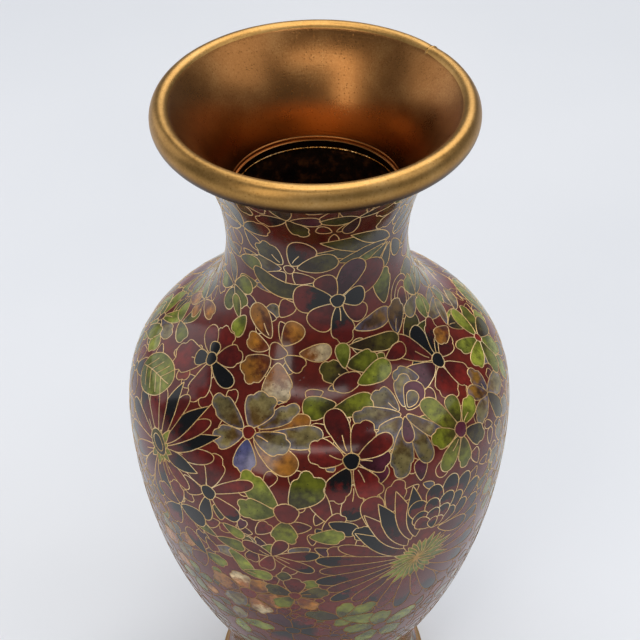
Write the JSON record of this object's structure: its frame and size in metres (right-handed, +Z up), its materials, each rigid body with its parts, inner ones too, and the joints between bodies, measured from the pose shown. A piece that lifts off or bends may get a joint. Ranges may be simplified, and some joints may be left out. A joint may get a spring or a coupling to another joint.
{
  "type": "cloisonne vase",
  "caption": "Baluster vase with enamelled copper body, flared brass trumpet mouth with a rolled lip, narrow neck and a brass foot ring.",
  "frame": {"origin": "centre of the foot ring's resting face", "axes": "+Z up along the vase's axis, out of the mouth; the side that faces -Y is the front"},
  "size_m": [0.125, 0.125, 0.255],
  "materials": {
    "turned_brass": "satin, finely pitted, aged brass",
    "copper": null,
    "brazing": "bright ragged brazing metal",
    "gilt_wire": "gilded, ground flush and polished",
    "red_enamel": "deep oxblood enamel, high gloss, with coloured motifs",
    "dark_enamel": "brown-black mottled counter-enamel"
  },
  "bodies": {
    "root": {"mouth_funnel": "turned_brass", "lip_ring": "turned_brass", "foot_ring": "turned_brass", "neck_shell": "copper", "shoulder_shell": "copper", "lower_shell": "copper", "foot_skirt": "copper", "base_plate": "copper", "neck_seam_braze": "brazing", "belly_seam_braze": "brazing", "foot_seam_braze": "brazing", "base_braze": "brazing", "throat_braze": "brazing", "lip_joint_braze": "brazing", "neck_border_wire": "gilt_wire", "foot_border_wire": "gilt_wire", "enamel_coat": "red_enamel", "counter_enamel": "dark_enamel", "base_enamel": "dark_enamel"}
  },
  "joints": []
}
